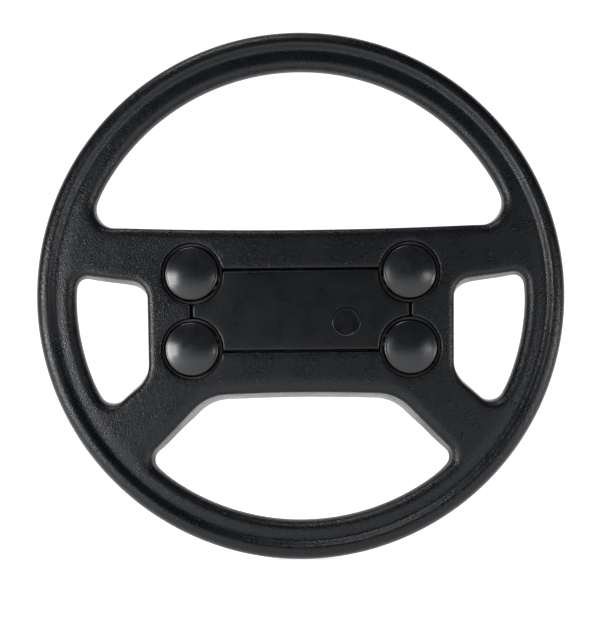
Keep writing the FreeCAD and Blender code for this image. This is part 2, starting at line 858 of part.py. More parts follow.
def slip_ring_carrier():
    """Insulating ring on the hub plate; its inner track lifts the brass ring."""
    corners = [
        ("carrier_inner", "plate_rear"),
        ("carrier_outer", "plate_rear"),
        ("carrier_outer", "carrier_back"),
        ("ring_outer", "carrier_back"),
        ("ring_outer", "track_back"),
        ("carrier_inner", "track_back"),
    ]
    body = turned("slip_ring_carrier", corners)
    holes = [(x, z, "screw_radius") for x, z in carrier_screw_places()]
    sketch = circles(body, "carrier_holes", "XZ_Plane", holes, "plate_rear")
    pocket(body, "carrier_screw_holes", sketch, "plate_rear - carrier_back")
    return node(body, "slip_ring_carrier")


def slip_ring():
    corners = [
        ("ring_inner", "track_back"),
        ("ring_outer", "track_back"),
        ("ring_outer", "ring_back + 0.3"),
        ("ring_outer - 0.3", "ring_back"),
        ("ring_inner + 0.3", "ring_back"),
        ("ring_inner", "ring_back + 0.3"),
    ]
    return node(turned("slip_ring", corners), "slip_ring")


def cancel_cam():
    """Plastic ring on the boss with two lugs that return the indicator switch."""
    body = turned("cancel_cam", [
        ("boss_radius", "track_back"),
        ("cam_outer", "track_back"),
        ("cam_outer", "cam_back"),
        ("boss_radius", "cam_back"),
    ])
    for side, word in ((RIGHT, "right"), (LEFT, "left")):
        corners = [
            (f"{side} * (boss_radius + 3)", "-cam_lug_half"),
            (f"{side} * cam_lug", "-cam_lug_half"),
            (f"{side} * cam_lug", "cam_lug_half"),
            (f"{side} * (boss_radius + 3)", "cam_lug_half"),
        ]
        sketch = outline(body, f"lug_{word}_outline", "XZ_Plane", corners, depth="cam_back")
        pad(body, f"lug_{word}", sketch, "8")
    return node(body, "cancel_cam")


def rear_shroud():
    """Trim ring that closes the round recess at the back of the hub."""
    corners = [
        ("shroud_inner", "plate_rear"),
        ("recess_radius", "plate_rear"),
        ("recess_radius", "hub_rear"),
        ("recess_radius - 1.5", "shroud_back"),
        ("shroud_inner", "shroud_back"),
    ]
    body = turned("rear_shroud", corners)
    holes = [(x, z, "screw_radius") for x, z in shroud_screw_places()]
    sketch = circles(body, "shroud_holes", "XZ_Plane", holes, "plate_rear")
    pocket(body, "shroud_screw_holes", sketch, "plate_rear - shroud_back")
    return node(body, "rear_shroud")


def screws(name, places, seat, tip, head_rear=True):
    """Pan-head screws along the axis, their heads behind the seat or in front of it."""
    way = -1 if head_rear else 1
    made = []
    for i, (x, z) in enumerate(places, start=1):
        head_ends = [seat, f"{seat} + {way} * screw_head_height"]
        shank_ends = [seat, tip]
        if head_rear:
            shank_ends.reverse()
        else:
            head_ends.reverse()
        head = cylinder(f"{name}_head_{i}", x, z, "screw_head", *head_ends)
        shank = cylinder(f"{name}_shank_{i}", x, z, "screw_radius", *shank_ends)
        screw = doc.addObject("Part::Fuse", f"{name}_screw_{i}")
        screw.Base = head
        screw.Tool = shank
        made.append(screw)
    return gather(name, made)


# ------------------------------------------------------------------ wiring


def rounded_route(points):
    """Straight runs joined by tangent arcs, as one wire, and the smallest arc radius."""
    edges = []
    smallest = math.inf
    here = points[0]
    for before, corner, after in zip(points, points[1:], points[2:]):
        inward = (before - corner).normalize()
        outward = (after - corner).normalize()
        half_turn = (math.pi - inward.getAngle(outward)) / 2
        setback = 0.45 * min((before - corner).Length, (after - corner).Length)
        radius = setback / math.tan(half_turn)
        smallest = min(smallest, radius)
        start, end = corner + inward * setback, corner + outward * setback
        middle_way = (inward + outward).normalize()
        middle = corner + middle_way * (radius / math.cos(half_turn) - radius)
        edges.append(Part.LineSegment(here, start).toShape())
        edges.append(Part.Arc(start, middle, end).toShape())
        here = end
    edges.append(Part.LineSegment(here, points[-1]).toShape())
    return Part.Wire(edges), smallest


def lead_shape(points):
    """A round wire along a route; its volume is compared with section times length."""
    path, smallest = rounded_route(points)
    radius = value("lead_radius")
    first = points[0]
    ring = Part.Wire([Part.Circle(first, points[1] - first, radius).toShape()])
    tube = path.makePipeShell([ring], True, False)
    expected = math.pi * radius**2 * path.Length
    if abs(tube.Volume - expected) > 0.01 * expected:
        raise RuntimeError("a lead's volume is not its section times its length")
    print(f"lead {path.Length:.1f} mm long, smallest bend {smallest:.1f} mm")
    return tube


def leads(name, lane, route):
    """Four leads, one from each button; route is (x, rise, depth) in one quarter of the hub."""
    lean = math.atan2(value("button_rise"), value("button_x"))
    along = value("strip_end") - 3
    aside = lane * value("strip_side")
    start_x = value("button_x") - math.cos(lean) * along - math.sin(lean) * aside
    start_rise = value("button_rise") - math.sin(lean) * along + math.cos(lean) * aside
    route = [(start_x, start_rise, value("lead_depth"))] + route
    tubes = []
    for side, row in CORNERS.values():
        points = [
            FreeCAD.Vector(side * x, -depth, value("pad_middle") + row * rise) for x, rise, depth in route
        ]
        tubes.append(lead_shape(points))
    feature = doc.addObject("Part::Feature", name + "_wires")
    feature.Shape = Part.makeCompound(tubes)
    return node(feature, name)


def wiring():
    deep = value("lead_depth")
    window = value("window_x")
    feed_route = [
        (46.0, 17.0, deep),
        (38.5, 11.2, deep),
        (33.2, 5.6, deep - 1.6),
        (window, 2.6, 38.4),
        (window, 2.6, value("plate_rear")),
    ]
    leads("horn_feed_leads", 1, feed_route)
    post = value("earth_x")
    washer = value("plate_front") + 0.8
    earth_route = [
        (52.0, 10.4, deep),
        (47.9, 6.2, deep - 1.5),
        (post, 4.6, 39.0),
        (post, 4.6, washer),
    ]
    leads("horn_earth_leads", -1, earth_route)
    places = [(f"{side} * earth_x", "pad_middle") for side in (RIGHT, LEFT)]
    screws("earth_screws", places, "plate_front + 0.8", "plate_rear + 0.3", head_rear=False)
    washers = []
    for i, (x, z) in enumerate(places, start=1):
        disc = cylinder(f"washer_disc_{i}", x, z, "earth_washer", "plate_front + 0.8", "plate_front")
        hole = cylinder(f"washer_hole_{i}", x, z, "screw_radius", "plate_front + 1", "plate_front - 1")
        washers.append(cut(f"washer_{i}", disc, hole))
    gather("earth_washers", washers)


# ------------------------------------------------------------------ assembly

hoop = rim_hoop()
plate = hub_plate()
plate_edge = cylinder("plate_edge", "0", "0", "plate_radius", "plate_front + 1", "plate_rear - 1")
arms = [spoke_arm(f"spoke_arm_{name}", side, row, plate_edge, hoop) for name, (side, row) in CORNERS.items()]
hub_boss()
moulding = cut("wheel_moulding", moulding_form(), hoop, plate, *arms)
node(moulding, "wheel_moulding")
for corner_name in CORNERS:
    horn_button(corner_name)
centre_pad()
pad_carrier()
horn_emblem()
pad_clip_bushes()
slip_ring_carrier()
slip_ring()
cancel_cam()
rear_shroud()
screws("carrier_screws", carrier_screw_places(), "carrier_back", "screw_tip")
screws("shroud_screws", shroud_screw_places(), "shroud_back", "screw_tip")
wiring()
doc.recompute()

for item in doc.Objects:
    if {"Invalid", "Error"} & set(item.State):
        raise RuntimeError(f"{item.Name} ({item.Label}) failed: {item.State}")
for item in nodes:
    if item.Shape.isNull() or not item.Shape.isValid() or item.Shape.Volume <= 0:
        raise RuntimeError(f"{item.Label} has no sound shape")

os.makedirs("parts", exist_ok=True)
for item in nodes:
    item.Shape.exportStep(f"parts/{item.Label}.step")
    print(f"{item.Label}: {len(item.Shape.Solids)} solid(s), {item.Shape.Volume / 1000:.2f} cm3")
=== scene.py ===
"""Four-spoke car steering wheel: the skins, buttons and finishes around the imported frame.

Lengths in the tables below are millimetres, as on the drawing. The steering axis is Y with the
driver at -Y, so a depth of 66 lies at y = -66. MM turns them into metres as meshes are made.
"""

import json
import math

import bmesh
import bpy
import numpy as np
from mathutils import Matrix, Vector, kdtree
from mathutils.geometry import delaunay_2d_cdt


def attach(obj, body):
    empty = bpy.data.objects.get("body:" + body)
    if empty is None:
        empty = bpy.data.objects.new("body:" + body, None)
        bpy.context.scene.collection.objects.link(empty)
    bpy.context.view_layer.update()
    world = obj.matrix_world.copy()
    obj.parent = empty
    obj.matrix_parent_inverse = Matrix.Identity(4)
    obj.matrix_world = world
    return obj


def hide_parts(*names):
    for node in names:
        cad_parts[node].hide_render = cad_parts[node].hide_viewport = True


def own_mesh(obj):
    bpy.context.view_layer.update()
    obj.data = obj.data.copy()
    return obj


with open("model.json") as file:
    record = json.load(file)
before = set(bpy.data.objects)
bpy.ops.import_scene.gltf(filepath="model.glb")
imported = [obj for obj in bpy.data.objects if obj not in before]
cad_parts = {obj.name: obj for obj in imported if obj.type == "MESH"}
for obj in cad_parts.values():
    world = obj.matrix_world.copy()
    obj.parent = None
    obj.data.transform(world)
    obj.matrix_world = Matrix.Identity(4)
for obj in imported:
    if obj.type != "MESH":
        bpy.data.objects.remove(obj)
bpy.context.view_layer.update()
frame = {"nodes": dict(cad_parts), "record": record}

MM = 0.001
TOUCHING = 0.02 * MM
CORNERS = {
    "upper_left": (-1, 1),
    "upper_right": (1, 1),
    "lower_left": (-1, -1),
    "lower_right": (1, -1),
}

# rim and web
RIM_OUTER = 190.0
GAP_OUTER = 161.8
WEB_FRONT = 66.0
WEB_REAR = 45.0
HUB_REAR = 25.0
OUTER_CREST = (181.5, 69.3)
VALLEY = (176.0, 65.2)
WEB_ENDS = 166.5
REAR_CREST = (176.0, 42.0)
WAIST = 57.0
LOBE_FULLNESS = 2.6
BOX_ENDS = 119.0
SLANT_ENDS = 122.0
SPOKE_SLOPE = math.radians(38.5)

# hub features, shared with the frame
BUTTON_X = 78.35
BUTTON_RISE = 27.1
PAD_MIDDLE = -12.1
SOCKET = 22.0
PAD_HALF = 77.5
PAD_HALF_HEIGHT = 28.4
PAD_GAP = 2.0
RECESS_FLOOR = 50.0
CHAMBER = (60.0, 25.0, 42.0)
SOCKET_FLOOR = 40.0
REAR_RECESS = 42.5
PLATE_LEVEL = 34.04


def inside(loop, points):
    """Which points lie inside a closed loop."""
    within = np.zeros(len(points), bool)
    x, z = points[:, 0], points[:, 1]
    for (x0, z0), (x1, z1) in zip(loop, np.roll(loop, -1, 0)):
        if z0 != z1:
            crosses = (z0 > z) != (z1 > z)
            within ^= crosses & (x < (x1 - x0) * (z - z0) / (z1 - z0) + x0)
    return within


def smooth(low, high, x):
    """0 below low, 1 above high, an S curve between."""
    t = np.clip((np.asarray(x, float) - low) / (high - low), 0, 1)
    return t * t * (3 - 2 * t)


# ------------------------------------------------------------------ outlines


class Line:
    """A straight edge from a to b, with the hole to its left."""

    def __init__(self, a, b):
        self.a = np.array(a, float)
        way = np.array(b, float) - self.a
        way /= np.linalg.norm(way)
        self.left = np.array([-way[1], way[0]])

    def depth(self, p):
        return (p - self.a) @ self.left

    def inward(self, p):
        return self.left

    def samples(self, start, end, spacing):
        count = max(2, math.ceil(np.linalg.norm(end - start) / spacing))
        t = np.linspace(0, 1, count, endpoint=False)[:, None]
        points = start + (end - start) * t
        return points, np.tile(-self.left, (count, 1))


class Arc:
    """A round edge; hole is +1 when the hole lies inside the circle, -1 when it lies outside."""

    def __init__(self, centre, radius, hole=1):
        self.centre = np.array(centre, float)
        self.radius = radius
        self.hole = hole

    def depth(self, p):
        return self.hole * (self.radius - np.linalg.norm(p - self.centre))

    def inward(self, p):
        out = p - self.centre
        return -self.hole * out / np.linalg.norm(out)

    def samples(self, start, end, spacing):
        first, last = (math.atan2(*(p - self.centre)[::-1]) for p in (start, end))
        turn = (last - first) * self.hole % (2 * math.pi) * self.hole
        steps = max(2, math.ceil(abs(turn) * self.radius / spacing), math.ceil(abs(turn) / 0.14))
        angles = first + turn * np.linspace(0, 1, steps, endpoint=False)
        out = np.stack([np.cos(angles), np.sin(angles)], 1)
        return self.centre + self.radius * out, self.hole * out


def meet(one, two, near, depth=0.0):
    """The point near a guess that lies depth inside both edges, by Newton's method."""
    p = np.array(near, float)
    for _ in range(20):
        slopes = np.array([one.inward(p), two.inward(p)])
        misses = np.array([one.depth(p) - depth, two.depth(p) - depth])
        p -= np.linalg.solve(slopes, misses)
    return p


class Outline:
    """A closed hole outline of edges in order, the hole on their left, with rounded corners.

    Corner i lies between edge i and the next. A negative radius rounds a corner of the material.
    Each edge has a style, a dict of numbers that is blended smoothly along the outline.
    """

    def __init__(self, edges, corners, radii, styles, spacing=2.2, blend=9.0):
        count = len(edges)
        rounds = []
        for i in range(count):
            one, two, radius = edges[i], edges[(i + 1) % count], radii[i]
            corner = meet(one, two, corners[i])
            start = corner + radius * (one.inward(corner) + two.inward(corner))
            rounds.append(meet(one, two, start, radius))
        points, normals, tags = [], [], []
        for i in range(count):
            before = rounds[i - 1] - radii[i - 1] * edges[i].inward(rounds[i - 1])
            after = rounds[i] - radii[i] * edges[i].inward(rounds[i])
            p, n = edges[i].samples(before, after, spacing)
            points.append(p)
            normals.append(n)
            tags += [[style_of(styles[i])]] * len(p)
            following = edges[(i + 1) % count]
            leave = rounds[i] - radii[i] * following.inward(rounds[i])
            arc = Arc(rounds[i], abs(radii[i]), 1 if radii[i] > 0 else -1)
            p, n = arc.samples(after, leave, spacing)
            points.append(p)
            normals.append(n)
            pair = [style_of(styles[i]), style_of(styles[(i + 1) % count])]
            tags += [pair] * len(p)
        self.points = np.concatenate(points)
        self.normals = np.concatenate(normals)
        values = np.array([np.mean(t, axis=0) for t in tags])
        self.width, self.height, self.flare = self.blended(values, blend).T
        self.size = len(self.points)

    def blended(self, values, reach):
        """Averages values along the outline, so that one edge's rounding runs into the next."""
        steps = np.linalg.norm(np.roll(self.points, -1, 0) - self.points, axis=1)
        place = np.concatenate([[0], np.cumsum(steps)[:-1]])
        length = steps.sum()
        gap = np.abs(place[:, None] - place[None, :])
        gap = np.minimum(gap, length - gap)
        weight = np.exp(-((gap / reach) ** 2)) * steps[None, :]
        return weight @ values / weight.sum(1, keepdims=True)

    def ring(self, distance):
        """The outline moved into the material by a distance, which may vary along it."""
        return self.points + self.normals * np.reshape(distance, (-1, 1))


def style_of(style):
    return (style["width"], style["height"], style["flare"])


def bow_radius(half, sag):
    return (half**2 + sag**2) / (2 * sag)


RIM_EDGE = {"width": 7.6, "height": 9.4, "flare": 0.0}
HUB_TOP = {"width": 6.5, "height": 3.4, "flare": 1.6}
HUB_SIDE = {"width": 5.0, "height": 4.2, "flare": 2.4}
HUB_BOTTOM = {"width": 11.5, "height": 4.6, "flare": 3.0}
SPOKE_UNDER = {"width": 4.6, "height": 3.8, "flare": 1.8}
SPOKE_SLANT = {"width": 5.0, "height": 4.0, "flare": 1.8}
LOWER_SLANT = {"width": 8.8, "height": 5.6, "flare": 2.8}


def wheel_openings():
    """The upper, lower and two side openings between the spokes."""
    rim = Arc((0, 0), GAP_OUTER)
    upper = bow_radius(154.0, 3.6)
    lower = bow_radius(68.0, 1.8)
    holes = {
        "upper": Outline(
            [Arc((0, 46.0 + upper), upper), rim],
            [(154.0, 49.6), (-154.0, 49.6)],
            [16.0, 14.0],
            [HUB_TOP, RIM_EDGE],
        ),
        "lower": Outline(
            [
                rim,
                Line((111.2, -117.5), (68.0, -72.8)),
                Arc((0, -71.0 - lower), lower),
                Line((-68.0, -72.8), (-111.2, -117.5)),
            ],
            [(111.2, -117.5), (68.0, -72.8), (-68.0, -72.8), (-111.2, -117.5)],
            [9.6, 34.0, 34.0, 9.6],
            [RIM_EDGE, LOWER_SLANT, HUB_BOTTOM, LOWER_SLANT],
        ),
    }
    for side, name in ((1, "right"), (-1, "left")):
        near_hub = [(110.4, 8.8), (109.4, -60.0)]
        near_rim = [(138.3, -84.0), (161.1, 15.2)]
        a, b, c, d = [(side * x, z) for x, z in near_hub + near_rim]
        if side > 0:
            edges = [Line(a, b), Line(b, c), rim, Line(d, a)]
            corners, radii = [b, c, d, a], [22.0, 10.5, 8.5, 13.0]
            styles = [HUB_SIDE, SPOKE_SLANT, RIM_EDGE, SPOKE_UNDER]
        else:
            edges = [Line(a, d), rim, Line(c, b), Line(b, a)]
            corners, radii = [d, c, b, a], [8.5, 10.5, 22.0, 13.0]
            styles = [SPOKE_UNDER, RIM_EDGE, SPOKE_SLANT, HUB_SIDE]
        holes[name] = Outline(edges, corners, radii, styles)
    return holes


def circle_points(x, z, radius, count):
    angles = np.linspace(0, 2 * math.pi, count, endpoint=False)
    return np.stack([x + radius * np.cos(angles), z + radius * np.sin(angles)], 1)


def button_centres():
    return [(side * BUTTON_X, PAD_MIDDLE + row * BUTTON_RISE) for side, row in CORNERS.values()]


def notched_outline(wide, tall, radius, around, corner, lip):
    """A rectangle about the pad's middle, with a circle about each button.

    around is 1 for the recess, a hole that takes in the circles, and -1 for the pad, which they cut.
    """
    reach_x = math.sqrt(radius**2 - (tall - BUTTON_RISE) ** 2)
    reach_z = math.sqrt(radius**2 - (wide - BUTTON_X) ** 2)
    near_x, near_z = BUTTON_X - reach_x, around * (BUTTON_RISE - reach_z)
    first, last, middle = PAD_MIDDLE - around * tall, PAD_MIDDLE + around * tall, PAD_MIDDLE
    arcs = [
        Arc((side * BUTTON_X, PAD_MIDDLE + row * around * BUTTON_RISE), radius)
        for side, row in ((1, -1), (1, 1), (-1, 1), (-1, -1))
    ]
    edges = [
        Line((-near_x, first), (near_x, first)), arcs[0],
        Line((wide, middle - near_z), (wide, middle + near_z)), arcs[1],
        Line((near_x, last), (-near_x, last)), arcs[2],
        Line((-wide, middle + near_z), (-wide, middle - near_z)), arcs[3],
    ]
    corners = [
        (near_x, first), (wide, middle - near_z), (wide, middle + near_z), (near_x, last),
        (-near_x, last), (-wide, middle + near_z), (-wide, middle - near_z), (-near_x, first),
    ]
    style = {"width": lip, "height": lip, "flare": 0.0}
    return Outline(edges, corners, [-corner] * 8, [style] * 8, spacing=1.5, blend=1.0)


def hub_recess():
    return notched_outline(PAD_HALF + PAD_GAP, PAD_HALF_HEIGHT + PAD_GAP, SOCKET, 1, 1.7, 1.2)


# ------------------------------------------------------------------ sheets


class Field:
    """The rounding that outlines press into a surface, found from their nearest points."""

    def __init__(self, outlines, shifts, widths, heights):
        self.points = np.concatenate([o.ring(-s) for o, s in zip(outlines, shifts)])
        self.width = np.concatenate(widths)
        self.height = np.concatenate(heights)
        self.tree = kdtree.KDTree(len(self.points))
        for i, (x, z) in enumerate(self.points):
            self.tree.insert((x, z, 0), i)
        self.tree.balance()

    def nearest(self, points):
        found = [self.tree.find((x, z, 0)) for x, z in points]
        return np.array([f[1] for f in found]), np.array([f[2] for f in found])

    def drop(self, points):
        """How far a quarter-ellipse rounding lowers the surface at each point."""
        index, distance = self.nearest(points)
        rest = np.clip(1 - distance / self.width[index], 0, 1)
        return self.height[index] * (1 - np.sqrt(1 - rest**2))


def past_crest(r, crest_r):
    """Share of the way from a lobe's crest to the rim's outer edge, exactly 1 on the edge itself."""
    share = np.clip((r - crest_r) / (RIM_OUTER - crest_r), 0, 1)
    return np.where(r > RIM_OUTER - 0.002, 1.0, share)


def front_depth(points):
    """Depth of the driver's side before the edges are rounded: flat web, valley, outer lobe."""
    r = np.hypot(*points.T)
    (crest_r, crest), (valley_r, valley) = OUTER_CREST, VALLEY
    depth = WEB_FRONT + (valley - WEB_FRONT) * smooth(WEB_ENDS, valley_r, r)
    depth = depth + (crest - valley) * smooth(valley_r, crest_r, r)
    over = past_crest(r, crest_r)
    return depth - (crest - WAIST) * (1 - (1 - over**LOBE_FULLNESS) ** (1 / LOBE_FULLNESS))


def rear_depth(points):
    """Depth of the side away from the driver: hub box, spokes and the back of the rim."""
    x, z = np.abs(points[:, 0]), points[:, 1]
    r = np.hypot(x, z)
    crest_r, crest = REAR_CREST
    along = x * math.cos(SPOKE_SLOPE) - z * math.sin(SPOKE_SLOPE)
    beyond = np.where(z > -20, x - BOX_ENDS, along - SLANT_ENDS)
    outside_box = np.maximum(smooth(-8, 8, beyond), smooth(140, 152, r))
    depth = HUB_REAR + (WEB_REAR - HUB_REAR) * outside_box
    depth = depth + (crest - WEB_REAR) * smooth(160, crest_r, r)
    over = past_crest(r, crest_r)
    return depth + (WAIST - crest) * (1 - np.sqrt(1 - over**2))


def terraced(loops, scattered, level_at, depth_of, facing):
    """A triangulated sheet over the (x, z) plane whose regions stand at levels of their own.

    level_at gives each triangle's level number, or -1 to leave it out. depth_of(level, points)
    gives the depth of points on a level. Walls join neighbouring levels along shared edges.
    """
    points, edges = [], []
    for loop in loops:
        first = len(points)
        points += [Vector(p) for p in loop]
        edges += [(first + i, first + (i + 1) % len(loop)) for i in range(len(loop))]
    points += [Vector(p) for p in scattered]
    flat, _, faces, *_ = delaunay_2d_cdt(points, edges, [], 0, 1e-6)
    flat = np.array([tuple(p) for p in flat])
    faces = np.array([f[:] for f in faces if len(f) == 3])
    a, b, c = flat[faces[:, 0]], flat[faces[:, 1]], flat[faces[:, 2]]
    area = (b[:, 0] - a[:, 0]) * (c[:, 1] - a[:, 1]) - (b[:, 1] - a[:, 1]) * (c[:, 0] - a[:, 0])
    faces[area < 0] = faces[area < 0][:, ::-1]
    faces = faces[np.abs(area) > 1e-9]
    levels = level_at(flat[faces].mean(axis=1))
    faces, levels = faces[levels >= 0], levels[levels >= 0]
    if facing < 0:
        faces = faces[:, ::-1]
    number, vertices, sides, made = {}, [], {}, []
    depths = {level: depth_of(level, flat) for level in set(levels)}
    for face, level in zip(faces.tolist(), levels.tolist()):
        row = []
        for v in face:
            if (v, level) not in number:
                number[v, level] = len(vertices)
                vertices.append((flat[v][0], -depths[level][v], flat[v][1]))
            row.append(number[v, level])
        made.append(row)
        for v, w in zip(face, face[1:] + face[:1]):
            sides[v, w] = level

    def climb(v, start, end):
        """Vertices at one point from one level to another, past any level between them."""
        ends = depths[start][v], depths[end][v]
        between = [k for k in depths if (v, k) in number and min(ends) < depths[k][v] < max(ends)]
        between.sort(key=lambda k: abs(depths[k][v] - ends[0]))
        return [number[v, k] for k in (start, *between, end)]

    for (v, w), level in sides.items():
        other = sides.get((w, v))
        if other is not None and other > level:
            made.append(climb(v, level, other) + climb(w, other, level))
    return vertices, made


def grid_points(spacing, reach):
    """A staggered grid that covers a disc."""
    rows = np.arange(-reach, reach, spacing * 0.866)
    columns = np.arange(-reach, reach, spacing)
    grid = []
    for i, z in enumerate(rows):
        shifted = columns + spacing / 2 * (i % 2)
        grid.append(np.stack([shifted, np.full(len(columns), z)], 1))
    grid = np.concatenate(grid)
    return grid[np.hypot(*grid.T) < reach]


def away_from(points, loops, distance):
    """Leaves out the points that lie close to any loop."""
    fence = np.concatenate(loops)
    tree = kdtree.KDTree(len(fence))
    for i, (x, z) in enumerate(fence):
        tree.insert((x, z, 0), i)
    tree.balance()
    far = [tree.find((x, z, 0))[2] > distance for x, z in points]
    return points[np.array(far)]


def quarter_steps(count):
    """Distances across a quarter-ellipse rounding, as shares of its width, evenly turned."""
    return 1 - np.cos(np.linspace(0, math.pi / 2, count + 1))


def rim_circles(radii, count=420):
    return [circle_points(0, 0, r, count) for r in radii]


def wall_between(top, bottom):
    """Quads between two matching rings of (x, y, z) points."""
    count = len(top)
    vertices = list(map(tuple, top)) + list(map(tuple, bottom))
    quads = [[i, (i + 1) % count, count + (i + 1) % count, count + i] for i in range(count)]
    return vertices, quads


def lifted(points, depth):
    return np.stack([points[:, 0], -np.broadcast_to(depth, len(points)), points[:, 1]], 1)


def through_holes():
    """Holes from the wiring chamber to the hub plate: the nut well and the two lead windows."""
    return [circle_points(*hole) for hole in THROUGH_HOLES]


def in_circles(points, circles):
    hit = np.zeros(len(points), bool)
    for x, z, radius in circles:
        hit |= np.hypot(points[:, 0] - x, points[:, 1] - z) < radius
    return hit


THROUGH_HOLES = [(0, 0, 17.05, 72), (31, PAD_MIDDLE, 7, 36), (-31, PAD_MIDDLE, 7, 36)]
THROUGH = [(x, z, radius - 0.02) for x, z, radius, _ in THROUGH_HOLES]
NUT_WELL = 17.7
BLIND_HOLES = [(side * 46.0, PAD_MIDDLE, 7.6, 34.05) for side in (1, -1)]
BLIND_HOLES += [(side * 26.0, PAD_MIDDLE + row * 19.0, 5.02, 36.0) for side, row in CORNERS.values()]
BLIND_HOLES += [(x, z, 6.5, 34.6) for x, z in button_centres()]


def chamber_outline():
    """The wiring chamber: a rectangle with a bulge round the nut well."""
    half, tall, _ = CHAMBER
    top, bottom = PAD_MIDDLE + tall, PAD_MIDDLE - tall
    start = math.asin(top / NUT_WELL)
    angles = np.linspace(start, math.pi - start, 14)
    bulge = NUT_WELL * np.stack([np.cos(angles), np.sin(angles)], 1)
    corners = [[(-half, bottom), (half, bottom), (half, top)], bulge, [(-half, top)]]
    return np.concatenate(corners)


def front_sheet(openings, recess):
    """Driver's side of the moulding, with the pad recess, horn sockets and wiring chamber."""
    outlines = [*openings.values(), recess]
    field = Field(outlines, [0] * len(outlines), [o.width for o in outlines], [o.height for o in outlines])
    shares = quarter_steps(7)
    rings = [o.ring(o.width * share) for o in openings.values() for share in shares]
    rings += [recess.ring(recess.width * share) for share in quarter_steps(4)]
    crest, valley = OUTER_CREST[0], VALLEY[0]
    lobe = RIM_OUTER - crest
    radii = [171.0, 173.0, 174.6, *np.linspace(valley, crest, 8)]
    radii += [crest + lobe * math.sin(t) for t in np.linspace(0, math.pi / 2, 13)[1:]]
    sockets = [circle_points(x, z, SOCKET - 0.15, 96) for x, z in button_centres()]
    chamber = chamber_outline()
    blind = [circle_points(x, z, r, 36) for x, z, r, _ in BLIND_HOLES]
    loops = rings + rim_circles(radii) + sockets + [chamber] + through_holes() + blind
    spare = away_from(grid_points(3.6, 170.0), loops, 1.7)
    floors = [WEB_FRONT, RECESS_FLOOR, CHAMBER[2], SOCKET_FLOOR] + [hole[3] for hole in BLIND_HOLES]

    def level_at(points):
        level = np.zeros(len(points), int)
        level[inside(recess.points, points)] = 1
        level[inside(chamber, points)] = 2
        level[in_circles(points, [(x, z, SOCKET - 0.16) for x, z in button_centres()])] = 3
        for i, hole in enumerate(BLIND_HOLES):
            level[in_circles(points, [hole[:3]])] = 4 + i
        level[in_circles(points, THROUGH)] = -1
        for opening in openings.values():
            level[inside(opening.points, points)] = -1
        level[np.hypot(*points.T) > RIM_OUTER] = -1
        return level

    def depth_of(level, points):
        if level:
            return np.full(len(points), floors[level])
        return front_depth(points) - field.drop(points)

    return terraced(loops, spare, level_at, depth_of, 1)


def rear_roundings(outline):
    """Width and height of the rounding on the rear edge of an opening, point by point."""
    rim = smooth(150, 160, np.hypot(*outline.points.T))
    base = rear_depth(outline.points)
    height = 3.4 + (WAIST - 1.2 - base - 3.4) * rim
    return 3.6 + 9.4 * rim, height


def rear_sheet(openings):
    """Column side of the moulding: the hub box, the backs of the spokes and the rim."""
    holes = list(openings.values())
    shapes = [rear_roundings(o) for o in holes]
    lip = 1.2
    field = Field(holes, [o.flare for o in holes], [w for w, _ in shapes], [h for _, h in shapes])
    rings = [o.ring(w * share - o.flare) for o, (w, _) in zip(holes, shapes) for share in quarter_steps(7)]
    crest = REAR_CREST[0]
    radii = [crest + (RIM_OUTER - crest) * math.sin(t) for t in np.linspace(0, math.pi / 2, 13)]
    mouth = [circle_points(0, 0, REAR_RECESS + lip * share, 132) for share in quarter_steps(4)]
    loops = rings + rim_circles(radii) + mouth + through_holes()
    spare = away_from(grid_points(3.2, 174.5), loops, 1.6)

    def level_at(points):
        level = np.where(np.hypot(*points.T) < REAR_RECESS, 1, 0)
        level[in_circles(points, THROUGH)] = -1
        for opening, ring in zip(holes, [o.ring(-o.flare) for o in holes]):
            level[inside(ring, points)] = -1
        level[np.hypot(*points.T) > RIM_OUTER] = -1
        return level

    def depth_of(level, points):
        if level:
            return np.full(len(points), PLATE_LEVEL)
        rest = np.clip(1 - (np.hypot(*points.T) - REAR_RECESS) / lip, 0, 1)
        lip_drop = np.where(rest < 1, lip * (1 - np.sqrt(1 - rest**2)), lip)
        return rear_depth(points) + field.drop(points) + lip_drop

    return terraced(loops, spare, level_at, depth_of, -1)


def moulded_wheel():
    """The whole foam moulding as one closed mesh."""
    openings, recess = wheel_openings(), hub_recess()
    parts = [front_sheet(openings, recess), rear_sheet(openings)]
    for opening in openings.values():
        top = lifted(opening.points, front_depth(opening.points) - opening.height)
        below = opening.ring(-opening.flare)
        width, height = rear_roundings(opening)
        parts.append(wall_between(top, lifted(below, rear_depth(below) + height)))
    for hole in through_holes():
        parts.append(wall_between(lifted(hole, CHAMBER[2]), lifted(hole, PLATE_LEVEL)))
    return parts


def mesh_object(name, parts, material, crease=38):
    """One object from lists of (vertices, faces) in millimetres, its touching points joined."""
    vertices, faces = [], []
    for points, polygons in parts:
        base = len(vertices)
        vertices += [tuple(MM * c for c in p) for p in points]
        faces += [[base + i for i in polygon] for polygon in polygons]
    mesh = bpy.data.meshes.new(name)
    mesh.from_pydata(vertices, [], faces)
    shape = bmesh.new()
    shape.from_mesh(mesh)
    bmesh.ops.remove_doubles(shape, verts=shape.verts, dist=TOUCHING)
    shape.to_mesh(mesh)
    shape.free()
    mesh.polygons.foreach_set("use_smooth", [True] * len(mesh.polygons))
    mesh.set_sharp_from_angle(angle=math.radians(crease))
    mesh.materials.append(material)
    made = bpy.data.objects.new(name, mesh)
    bpy.context.scene.collection.objects.link(made)
    return made


def pad_outline():
    return notched_outline(PAD_HALF, PAD_HALF_HEIGHT, PAD_CLEARANCE, -1, 1.5, 1.3)


